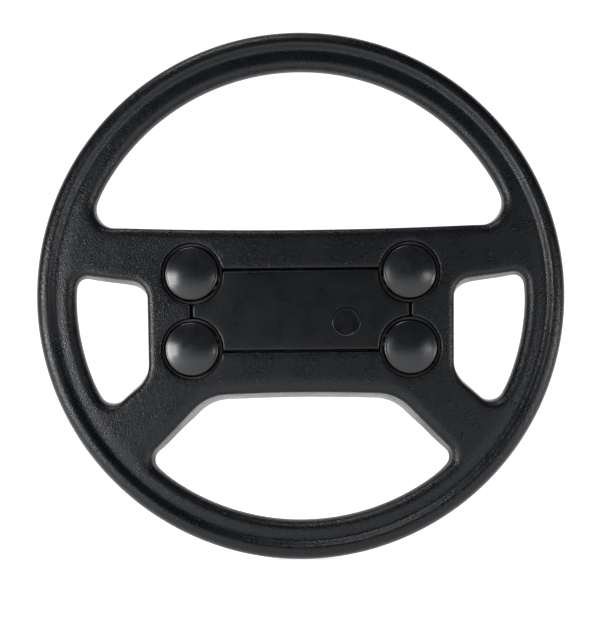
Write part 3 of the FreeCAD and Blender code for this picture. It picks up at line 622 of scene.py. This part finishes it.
def moulded_pad():
    """The centre pad's foam: a barely swollen face, rounded edges and a seat for the emblem."""
    edge = pad_outline()
    x, z, radius, floor = EMBLEM_SEAT
    seat = circle_points(x, z, radius, 72)
    field = Field([edge], [0], [edge.width], [edge.height])
    rings = [edge.ring(edge.width * share) for share in quarter_steps(6)]
    rings += [edge.ring(distance) for distance in (3.0, 5.0)]
    spare = away_from(grid_points(3.0, 90.0), rings + [seat], 1.4)
    spare = spare[inside(edge.ring(4.0 * np.ones(edge.size)), spare)]

    def level_at(points):
        level = np.where(in_circles(points, [(x, z, radius - 0.02)]), 1, 0)
        level[~inside(edge.points, points)] = -1
        return level

    def depth_of(level, points):
        if level:
            return np.full(len(points), floor)
        swell = PAD_SWELL * (1 - (points[:, 0] / PAD_HALF) ** 4).clip(0)
        swell *= (1 - ((points[:, 1] - PAD_MIDDLE) / PAD_HALF_HEIGHT) ** 4).clip(0)
        swell *= smooth(0, SWELL_STARTS, field.nearest(points)[1])
        return WEB_FRONT + swell - field.drop(points)

    def flat_back(points):
        return np.where(inside(edge.points, points), 0, -1)

    front = terraced(rings + [seat], spare, level_at, depth_of, 1)
    back = terraced([edge.points], [], flat_back, lambda level, p: np.full(len(p), PAD_REAR), -1)
    top = lifted(edge.points, WEB_FRONT - edge.height)
    return [front, back, wall_between(top, lifted(edge.points, PAD_REAR))]


def turned(profile, x=0.0, z=0.0, segments=96, lean=(0.0, 0.0), lean_from=1e9):
    """A solid of revolution from (radius, depth) pairs, front centre first and rear centre last.

    Points in front of lean_from lean a little, as a cap does that sits loosely in its guide.
    """
    angles = np.linspace(0, 2 * math.pi, segments, endpoint=False)
    vertices, rows = [], []
    for radius, depth in profile:
        if radius == 0:
            rows.append([len(vertices)] * segments)
            vertices.append((x, -depth, z))
            continue
        rows.append(list(range(len(vertices), len(vertices) + segments)))
        share = float(smooth(lean_from - 3, lean_from, depth))
        for a in angles:
            dx, dz = radius * math.cos(a), radius * math.sin(a)
            vertices.append((x + dx, -depth - share * (lean[0] * dx + lean[1] * dz), z + dz))
    faces = []
    for one, two in zip(rows, rows[1:]):
        for i in range(segments):
            j = (i + 1) % segments
            corners = [one[i], one[j], two[j], two[i]]
            face = [v for k, v in enumerate(corners) if v != corners[k - 1]]
            faces.append(face[::-1])
    return vertices, faces


def eased(profile, easing=0.25, steps=3):
    """A profile whose inner corners are each replaced by a small round."""
    points = [np.array(p, float) for p in profile]
    made = [tuple(points[0])]
    for before, corner, after in zip(points, points[1:], points[2:]):
        back, on = before - corner, after - corner
        reach = min(easing, np.linalg.norm(back) / 2.2, np.linalg.norm(on) / 2.2)
        start = corner + back / np.linalg.norm(back) * reach
        end = corner + on / np.linalg.norm(on) * reach
        for t in np.linspace(0, 1, steps + 1):
            made.append(tuple((1 - t) ** 2 * start + 2 * t * (1 - t) * corner + t**2 * end))
    made.append(tuple(points[-1]))
    return made


CAP_TOP = 70.3
CAP_DOME = 3.25
CAP_FACE = 17.7
CAP_ROLL = 1.3


def cap_profile():
    """Horn button: convex face, rolled edge, hollow underside, guide skirt and clip peg."""
    face = [(r, CAP_TOP - CAP_DOME * (r / CAP_FACE) ** 2.1) for r in np.linspace(0, CAP_FACE, 23)]
    turns = np.linspace(0.12, math.pi / 2, 8)
    roll = [(CAP_FACE + CAP_ROLL * math.sin(t), 65.75 + CAP_ROLL * math.cos(t)) for t in turns]
    under = [
        (19.0, 63.0), (18.5, 62.6), (14.5, 62.6), (14.5, 49.0), (12.4, 49.0), (12.4, 65.4),
        (3.9, 65.4), (3.9, 50.6), (3.0, 50.6), (3.0, 39.8), (2.2, 39.8), (2.2, 39.0),
        (3.0, 39.0), (3.0, 38.1), (2.5, 37.6),
    ]
    return face + roll + eased([roll[-1], *under, (0.0, 37.6)], 0.2)[1:]


CAP_LEANS = {
    "upper_left": (0.012, -0.010),
    "upper_right": (-0.010, 0.012),
    "lower_left": (0.014, 0.003),
    "lower_right": (-0.013, 0.004),
}
EMBLEM = (32.6, -20.9, 10.2)
EMBLEM_SEAT = (32.6, -20.9, 10.45, 64.4)
PAD_REAR = 54.02
PAD_CLEARANCE = 22.4
PAD_SWELL = 0.3
SWELL_STARTS = 6.0


def emblem_disc():
    """A round badge with a raised rim and a plain horn sign, no lettering."""
    x, z, radius = EMBLEM
    place = np.array([x, z])
    upper_side = [(-5.6, 0.9), (1.2, 0.9), (3.0, 1.5), (4.6, 3.2), (5.4, 4.4)]
    lower_side = [(across, -up) for across, up in upper_side[::-1]]
    horn = place + np.array([lower_side[-1]] + upper_side + lower_side[:-1])[::-1]
    turn = np.linspace(math.pi, 2 * math.pi, 13)
    bow_out = [(-3.8 + 1.9 * math.cos(a), -1.15 + 2.2 * math.sin(a)) for a in turn]
    bow_in = [(-3.8 + 1.1 * math.cos(a), -1.15 + 1.4 * math.sin(a)) for a in turn[::-1]]
    bow_shape = place + np.array(bow_out + bow_in)
    rim_at = [radius, radius - 0.12, radius - 0.4, radius - 1.0, radius - 1.25, radius - 1.4]
    loops = [circle_points(x, z, r, 96) for r in rim_at] + [horn, bow_shape]
    spare = away_from(place + grid_points(1.0, 8.0), loops, 0.35)

    def level_at(points):
        level = np.where(inside(horn, points) | inside(bow_shape, points), 1, 0)
        level[~in_circles(points, [(x, z, radius)])] = -1
        return level

    def depth_of(level, points):
        r = np.hypot(points[:, 0] - x, points[:, 1] - z)
        ring = np.interp(r, rim_at[::-1], [65.95, 66.3, 66.5, 66.5, 66.38, 66.1])
        return ring + (0.28 if level else 0.0)

    def disc(points):
        return np.where(in_circles(points, [(x, z, radius)]), 0, -1)

    outer = loops[0]
    front = terraced(loops, spare, level_at, depth_of, 1)
    back = terraced([outer], [], disc, lambda level, p: np.full(len(p), 64.5), -1)
    return [front, back, wall_between(lifted(outer, 64.5), lifted(outer, 66.1))]


def screw_mesh(length, head=2.4, height=2.0, shank=1.4):
    """A pan-head screw with a cross recess, its seat at depth 0 and its tip behind."""
    cross = np.array([
        (0.3, 0.3), (0.3, 1.25), (-0.3, 1.25), (-0.3, 0.3), (-1.25, 0.3), (-1.25, -0.3),
        (-0.3, -0.3), (-0.3, -1.25), (0.3, -1.25), (0.3, -0.3), (1.25, -0.3), (1.25, 0.3),
    ])
    steps = [head * math.sin(t) for t in np.linspace(0.62, math.pi / 2, 7)]
    loops = [circle_points(0, 0, r, 36) for r in steps] + [cross]

    def level_at(points):
        return np.where(inside(cross, points), 1, 0)

    def depth_of(level, points):
        r = np.hypot(*points.T)
        dome = height * (0.45 + 0.55 * np.sqrt(np.clip(1 - (r / head) ** 2, 0, 1)))
        return np.full(len(points), 0.35 * height) if level else dome

    front = terraced(loops, [], level_at, depth_of, 1)
    turns = 2 * length / 0.9
    thread = [(shank * (0.86 if i % 2 else 1.0), -0.45 * i) for i in range(1, int(turns) - 1)]
    under_head = [(head, 0.45 * height), (head, 0.0), (shank * 0.86, 0.0)]
    tip = [(shank * 0.4, -length), (0, -length)]
    return [front, turned(under_head + thread + tip, segments=36)]


# ------------------------------------------------------------------ repeated parts


class Growth:
    """A geometry node tree with named inputs, turned into a plain mesh once it is set."""

    def __init__(self, name, **inputs):
        self.tree = bpy.data.node_groups.new(name, "GeometryNodeTree")
        self.values = inputs
        kinds = {int: "NodeSocketInt", float: "NodeSocketFloat", bpy.types.Object: "NodeSocketObject"}
        kinds[bpy.types.Material] = "NodeSocketMaterial"
        for label, given in inputs.items():
            self.tree.interface.new_socket(label, in_out="INPUT", socket_type=kinds[type(given)])
        self.tree.interface.new_socket("Geometry", in_out="OUTPUT", socket_type="NodeSocketGeometry")
        self.given = self.tree.nodes.new("NodeGroupInput")

    def add(self, kind, inputs, output=0, **settings):
        """Adds a node; inputs are numbers, vectors or other nodes' outputs."""
        made = self.tree.nodes.new("GeometryNode" + kind if not kind.startswith("Shader") else kind)
        for setting, choice in settings.items():
            setattr(made, setting, choice)
        for label, given in inputs.items():
            if isinstance(given, bpy.types.NodeSocket):
                self.tree.links.new(given, made.inputs[label])
            else:
                made.inputs[label].default_value = given
        return made.outputs[output]

    def __getitem__(self, label):
        return self.given.outputs[label]

    def grown(self, name, geometry, mesh=None):
        """The mesh that the tree makes, as a piece of its own."""
        end = self.tree.nodes.new("NodeGroupOutput")
        self.tree.links.new(geometry, end.inputs[0])
        carrier = bpy.data.objects.new(name + "_maker", mesh or bpy.data.meshes.new(name + "_maker"))
        bpy.context.scene.collection.objects.link(carrier)
        modifier = carrier.modifiers.new("growth", "NODES")
        modifier.node_group = self.tree
        for item in self.tree.interface.items_tree:
            if item.in_out == "INPUT" and item.name in self.values:
                modifier[item.identifier] = self.values[item.name]
        seen = bpy.context.evaluated_depsgraph_get()
        shape = bpy.data.meshes.new_from_object(carrier.evaluated_get(seen), depsgraph=seen)
        bpy.data.objects.remove(carrier)
        made = bpy.data.objects.new(name, shape)
        bpy.context.scene.collection.objects.link(made)
        return made


def coil_spring(name, x, z, material):
    """A compression spring with closed ends, from the housing floor to the bridge contact."""
    wire, base, length = 0.45, 43.05, 6.85
    growth = Growth(
        name + "_growth",
        Turns=5.5,
        Radius=4.9 * MM,
        Wire=wire * MM,
        Length=(length - 2 * wire) * MM,
        Finish=material,
    )
    spiral = growth.add("CurveSpiral", {
        "Resolution": 28, "Rotations": growth["Turns"], "Start Radius": growth["Radius"],
        "End Radius": growth["Radius"], "Height": 0.0,
    })
    along = growth.add("SplineParameter", {})
    rise = growth.add("ShaderNodeMapRange", {
        "Value": along, "From Min": 0.13, "From Max": 0.87, "To Max": growth["Length"],
    })
    lift = growth.add("ShaderNodeCombineXYZ", {"Z": rise})
    coil = growth.add("SetPosition", {"Geometry": spiral, "Offset": lift})
    section = growth.add("CurvePrimitiveCircle", {"Resolution": 12, "Radius": growth["Wire"]})
    solid = growth.add("CurveToMesh", {"Curve": coil, "Profile Curve": section, "Fill Caps": True})
    smoothed = growth.add("SetShadeSmooth", {"Geometry": solid})
    done = growth.add("SetMaterial", {"Geometry": smoothed, "Material": growth["Finish"]})
    made = growth.grown(name, done)
    made.data.transform(Matrix.Rotation(math.pi / 2, 4, "X"))
    made.data.transform(Matrix.Translation((x * MM, -(base + wire) * MM, z * MM)))
    return made


def screw_set(name, places, seat, screw, material):
    """Screws on their places, each turned its own way, with their seats at one depth."""
    points = bpy.data.meshes.new(name + "_places")
    points.from_pydata([(x * MM, -seat * MM, z * MM) for x, z in places], [], [])
    growth = Growth(name + "_growth", Screw=screw, Finish=material, Turn=1.9)
    sockets = growth.tree.interface
    incoming = sockets.new_socket("Places", in_out="INPUT", socket_type="NodeSocketGeometry")
    sockets.move(incoming, 0)
    shape = growth.add("ObjectInfo", {"Object": growth["Screw"]}, "Geometry", transform_space="ORIGINAL")
    count = growth.add("InputIndex", {})
    turn = growth.add("ShaderNodeMath", {0: count, 1: growth["Turn"]}, operation="MULTIPLY")
    spin = growth.add("ShaderNodeCombineXYZ", {"Y": turn})
    chosen = {"Points": growth["Places"], "Instance": shape, "Rotation": spin}
    placed = growth.add("InstanceOnPoints", chosen)
    solid = growth.add("RealizeInstances", {"Geometry": placed})
    done = growth.add("SetMaterial", {"Geometry": solid, "Material": growth["Finish"]})
    return growth.grown(name, done, points)


# ------------------------------------------------------------------ finishes


class Number:
    """A shader value whose arithmetic adds maths nodes."""

    def __init__(self, finish, socket):
        self.finish, self.socket = finish, socket

    def with_other(self, operation, other, swapped=False):
        pair = [other, self] if swapped else [self, other]
        return self.finish.add("Math", dict(enumerate(pair)), operation=operation)

    def __add__(self, other):
        return self.with_other("ADD", other)

    def __radd__(self, other):
        return self.with_other("ADD", other, True)

    def __sub__(self, other):
        return self.with_other("SUBTRACT", other)

    def __rsub__(self, other):
        return self.with_other("SUBTRACT", other, True)

    def __mul__(self, other):
        return self.with_other("MULTIPLY", other)

    def __rmul__(self, other):
        return self.with_other("MULTIPLY", other, True)

    def __truediv__(self, other):
        return self.with_other("DIVIDE", other)

    def __rtruediv__(self, other):
        return self.with_other("DIVIDE", other, True)

    def __neg__(self):
        return self.with_other("MULTIPLY", -1.0)

    def __pow__(self, other):
        return self.with_other("POWER", other)

    def __abs__(self):
        return self.finish.add("Math", {0: self}, operation="ABSOLUTE")


class Finish:
    """One material, its constants set at once and its patterns added node by node."""

    def __init__(self, name, colour, **constants):
        self.material = bpy.data.materials.new(name)
        self.material.use_nodes = True
        self.nodes = self.material.node_tree.nodes
        self.shader = self.nodes["Principled BSDF"]
        self.colour = colour
        self.shader.inputs["Base Color"].default_value = (*colour, 1)
        for label, number in constants.items():
            self.shader.inputs[label.replace("_", " ")].default_value = number
        self.where = self.add("TexCoord", {}, output="Object")

    def add(self, kind, inputs, output=0, **settings):
        made = self.nodes.new("ShaderNode" + kind)
        for setting, choice in settings.items():
            setattr(made, setting, choice)
        for label, given in inputs.items():
            if isinstance(given, Number):
                self.material.node_tree.links.new(given.socket, made.inputs[label])
            else:
                made.inputs[label].default_value = given
        return Number(self, made.outputs[output])

    def feed(self, label, number):
        self.material.node_tree.links.new(number.socket, self.shader.inputs[label])

    def noise(self, scale, detail=3.0, roughness=0.55, distortion=0.0, where=None):
        inputs = {"Vector": where or self.where, "Scale": scale, "Detail": detail}
        return self.add("TexNoise", {**inputs, "Roughness": roughness, "Distortion": distortion})

    def between(self, number, low, high, to_low=0.0, to_high=1.0):
        spans = {"From Min": low, "From Max": high, "To Min": to_low, "To Max": to_high}
        return self.add("MapRange", {"Value": number, **spans}, interpolation_type="SMOOTHSTEP")

    def toned(self, share, shade):
        """Base colour that moves towards a shade where share is high."""
        mixed = {0: share, 6: (*self.colour, 1), 7: (*shade, 1)}
        self.feed("Base Color", self.add("Mix", mixed, output=2, data_type="RGBA"))

    def relief(self, height, distance, strength=1.0):
        bump = self.add("Bump", {"Height": height, "Distance": distance, "Strength": strength})
        self.feed("Normal", bump)


def leather_skin(name, colour, grain, relief, sheen_low, sheen_high):
    """Self-skinned foam with a leather grain: fine cells, soft creases and uneven sheen."""
    finish = Finish(name, colour, Roughness=0.45, Specular_IOR_Level=0.3)
    drift = finish.noise(260.0, 2.0)
    warped = finish.add("VectorMath", {0: finish.where, 1: drift * 0.0016}, operation="ADD")
    cells = finish.add("TexVoronoi", {"Vector": warped, "Scale": grain}, feature="DISTANCE_TO_EDGE")
    pebble = finish.between(cells, 0.0, 0.35)
    creases = finish.noise(520.0, 6.0, 0.62, 0.6)
    finish.relief(pebble * 0.6 + creases * 0.9, relief, 0.85)
    patches = finish.noise(46.0, 4.0, 0.6)
    sheen = finish.between(patches, 0.3, 0.7, sheen_low, sheen_high)
    finish.feed("Roughness", sheen + (1.0 - pebble) * 0.06)
    finish.toned(finish.between(creases, 0.42, 0.7), tuple(c * 1.7 for c in colour))
    return finish.material


def moulded_plastic(name, colour, roughness, grain=900.0, relief=0.00002):
    finish = Finish(name, colour, Roughness=roughness)
    fine = finish.noise(grain, 3.0)
    broad = finish.noise(70.0, 3.0)
    finish.relief(fine, relief, 0.6)
    finish.feed("Roughness", finish.between(broad, 0.25, 0.75, roughness - 0.06, roughness + 0.08))
    finish.toned(finish.between(broad, 0.5, 0.9), tuple(min(1.0, c * 1.25 + 0.002) for c in colour))
    return finish.material


def metal(name, colour, roughness, stain, turned_lines=False):
    finish = Finish(name, colour, Metallic=1.0, Roughness=roughness)
    x, y, z = (finish.add("SeparateXYZ", {"Vector": finish.where}, output=axis) for axis in "XYZ")
    broad = finish.noise(120.0, 4.0)
    lines = finish.noise(900.0, 2.0)
    if turned_lines:
        radius = (x * x + z * z) ** 0.5
        rings = finish.add("CombineXYZ", {"X": radius * 60.0, "Y": y * 60.0, "Z": 0.0})
        lines = finish.noise(90.0, 2.0, where=rings)
    finish.relief(lines, 0.00001, 0.5)
    finish.feed("Roughness", finish.between(broad, 0.2, 0.8, roughness - 0.08, roughness + 0.15))
    finish.toned(finish.between(broad, 0.52, 0.85), stain)
    return finish.material


def painted_steel(name, colour):
    finish = Finish(name, colour, Roughness=0.5)
    worn = finish.noise(150.0, 5.0)
    finish.relief(finish.noise(700.0, 3.0), 0.00002, 0.5)
    finish.feed("Metallic", finish.between(worn, 0.72, 0.78, 0.0, 0.9))
    finish.toned(finish.between(worn, 0.7, 0.78), (0.3, 0.3, 0.31))
    return finish.material


FINISHES = {
    "armature_steel": painted_steel("black_paint", (0.02, 0.02, 0.022)),
    "machined_steel": metal("turned_steel", (0.52, 0.53, 0.55), 0.3, (0.38, 0.37, 0.36), True),
    "foam_skin": leather_skin("foam_leather", (0.0021, 0.0027, 0.0037), 620.0, 0.00018, 0.22, 0.31),
    "pad_skin": leather_skin("pad_leather", (0.0017, 0.0022, 0.0031), 760.0, 0.00009, 0.24, 0.33),
    "cap_plastic": moulded_plastic("button_black", (0.0055, 0.0065, 0.008), 0.24, 1400.0, 0.000008),
    "housing_plastic": moulded_plastic("housing_black", (0.012, 0.0125, 0.0135), 0.5),
    "emblem_plastic": moulded_plastic("badge_black", (0.0035, 0.004, 0.005), 0.2, 1500.0, 0.000008),
    "white_plastic": moulded_plastic("acetal", (0.68, 0.66, 0.6), 0.42),
    "contact_brass": metal("brass", (0.66, 0.47, 0.2), 0.28, (0.4, 0.26, 0.12), True),
    "spring_steel": metal("spring_wire", (0.5, 0.5, 0.52), 0.25, (0.4, 0.38, 0.36)),
    "zinc_screws": metal("zinc", (0.58, 0.57, 0.5), 0.34, (0.44, 0.42, 0.36)),
    "brown_insulation": moulded_plastic("brown_lead", (0.12, 0.045, 0.02), 0.45),
    "black_insulation": moulded_plastic("black_lead", (0.015, 0.015, 0.016), 0.45),
}


# ------------------------------------------------------------------ camera, light and floor


def aimed(place, target, roll=0.0):
    """The rotation that looks from place to target, rolled about the view."""
    looking = (Vector(target) - Vector(place)).to_track_quat("-Z", "Y").to_matrix()
    return (looking @ Matrix.Rotation(roll, 3, "Z")).to_euler()


def soft_light(name, place, target, size, power, tint=(1.0, 1.0, 1.0)):
    lamp = bpy.data.lights.new(name, "AREA")
    lamp.shape = "RECTANGLE"
    lamp.size, lamp.size_y = size
    lamp.energy = power
    lamp.color = tint
    made = bpy.data.objects.new(name, lamp)
    made.location = place
    made.rotation_euler = aimed(place, target)
    bpy.context.scene.collection.objects.link(made)


def white_surroundings(scene):
    """A bright backdrop beyond the wheel, dimmer towards the camera's side."""
    world = bpy.data.worlds.new("white studio")
    world.use_nodes = True
    nodes, links = world.node_tree.nodes, world.node_tree.links
    way = nodes.new("ShaderNodeTexCoord")
    split = nodes.new("ShaderNodeSeparateXYZ")
    fade = nodes.new("ShaderNodeMapRange")
    fade.interpolation_type = "SMOOTHSTEP"
    for label, number in (("From Min", 0.1), ("From Max", 0.75), ("To Min", 0.04), ("To Max", 1.2)):
        fade.inputs[label].default_value = number
    links.new(way.outputs["Generated"], split.inputs[0])
    links.new(split.outputs["Y"], fade.inputs["Value"])
    links.new(fade.outputs[0], nodes["Background"].inputs["Strength"])
    nodes["Background"].inputs["Color"].default_value = (1.0, 1.0, 1.0, 1)
    scene.world = world


def pale_floor():
    # Painted light: the floor glows by emission, at full strength near and behind the wheel and fading to
    # a fifth towards the camera.
    finish = Finish("floor", (0.84, 0.85, 0.88), Roughness=0.8, Emission_Strength=0.74)
    away = finish.add("SeparateXYZ", {"Vector": finish.where}, output="Y")
    glow = finish.between(away, -1.3, -0.55, 0.2, 1.0)
    finish.feed("Emission Color", finish.add("CombineXYZ", {"X": glow, "Y": glow, "Z": glow}))
    mesh = bpy.data.meshes.new("floor")
    ring = circle_points(0, 0, 6000, 64)
    mesh.from_pydata([(MM * x, MM * y, -RIM_OUTER * MM) for x, y in ring], [], [list(range(64))])
    mesh.materials.append(finish.material)
    floor = bpy.data.objects.new("floor", mesh)
    bpy.context.scene.collection.objects.link(floor)


def studio():
    scene = bpy.context.scene
    scene.view_settings.view_transform = "Standard"
    white_surroundings(scene)
    pale_floor()
    lens = bpy.data.cameras.new("camera")
    camera = bpy.data.objects.new("camera", lens)
    aim = Vector((0.0047, -0.057, -0.0184))
    rise, distance = math.radians(-3.0), 1.243
    camera.location = aim + distance * Vector((0, -math.cos(rise), math.sin(rise)))
    camera.rotation_euler = aimed(camera.location, aim, math.radians(-0.6))
    lens.sensor_width, lens.sensor_fit = 36, "HORIZONTAL"
    lens.lens = 36 * distance / 0.4437
    scene.collection.objects.link(camera)
    scene.camera = camera
    for name, place, size, power in (
        ("left softbox", (-0.52, -0.42, -0.07), (0.2, 0.3), 3.2),
        ("right softbox", (0.55, -0.3, -0.14), (0.1, 0.25), 1.3),
        ("left fill", (-0.62, -0.85, -0.04), (0.15, 0.32), 2.2),
        ("right fill", (0.8, -1.1, -0.14), (0.25, 0.25), 2.2),
        ("overhead softbox", (-0.4, -0.5, 1.4), (0.8, 0.3), 9),
    ):
        soft_light(name, place, (0, 0, 0), size, power)


# ------------------------------------------------------------------ the wheel


def piece(name, parts, slot, body, *nodes, crease=38):
    """A modelled piece in place of the CAD nodes it stands for."""
    made = mesh_object(name, parts, FINISHES[slot], crease)
    return settled(made, slot, body, *nodes)


def settled(made, slot, body, *nodes):
    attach(made, body)
    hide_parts(*nodes)
    return made


def finish_frame():
    """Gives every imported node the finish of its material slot."""
    slots = {part["node"]: part["material_slot"] for part in frame["record"]["subparts"]}
    for name, node in frame["nodes"].items():
        node.data.materials.clear()
        node.data.materials.append(FINISHES[slots[name]])


def around_axis(radius, *degrees):
    return [(radius * math.cos(math.radians(a)), radius * math.sin(math.radians(a))) for a in degrees]


finish_frame()
foam = piece("moulded_foam", moulded_wheel(), "foam_skin", "wheel", "wheel_moulding")
pad_foam = piece("pad_foam", moulded_pad(), "pad_skin", "pad", "centre_pad")
piece("badge", emblem_disc(), "emblem_plastic", "pad", "horn_emblem", crease=30)
for corner, (side, row) in CORNERS.items():
    x, z = side * BUTTON_X, PAD_MIDDLE + row * BUTTON_RISE
    cap = turned(cap_profile(), x, z, 128, CAP_LEANS[corner], 65.0)
    piece("button_" + corner, [cap], "cap_plastic", "button_" + corner, "horn_cap_" + corner)
    spring = coil_spring("spring_" + corner, x, z, FINISHES["spring_steel"])
    settled(spring, "spring_steel", "wheel", "horn_spring_" + corner)
    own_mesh(spring)

zinc = FINISHES["zinc_screws"]
for name, places, seat, length, from_behind in (
    ("carrier_screws", around_axis(32.8, 90, 225, 315), 26.0, 7.6, True),
    ("shroud_screws", around_axis(39.3, 45, 135, 225, 315), 22.0, 11.6, True),
    ("earth_screws", [(-46.0, PAD_MIDDLE), (46.0, PAD_MIDDLE)], 34.8, 3.5, False),
):
    pattern = mesh_object(name + "_pattern", screw_mesh(length), zinc)
    if from_behind:
        pattern.data.transform(Matrix.Rotation(math.pi, 4, "Z"))
    made = screw_set(name + "_made", places, seat, pattern, zinc)
    bpy.data.objects.remove(pattern)
    settled(made, "zinc_screws", "wheel", name)

studio()
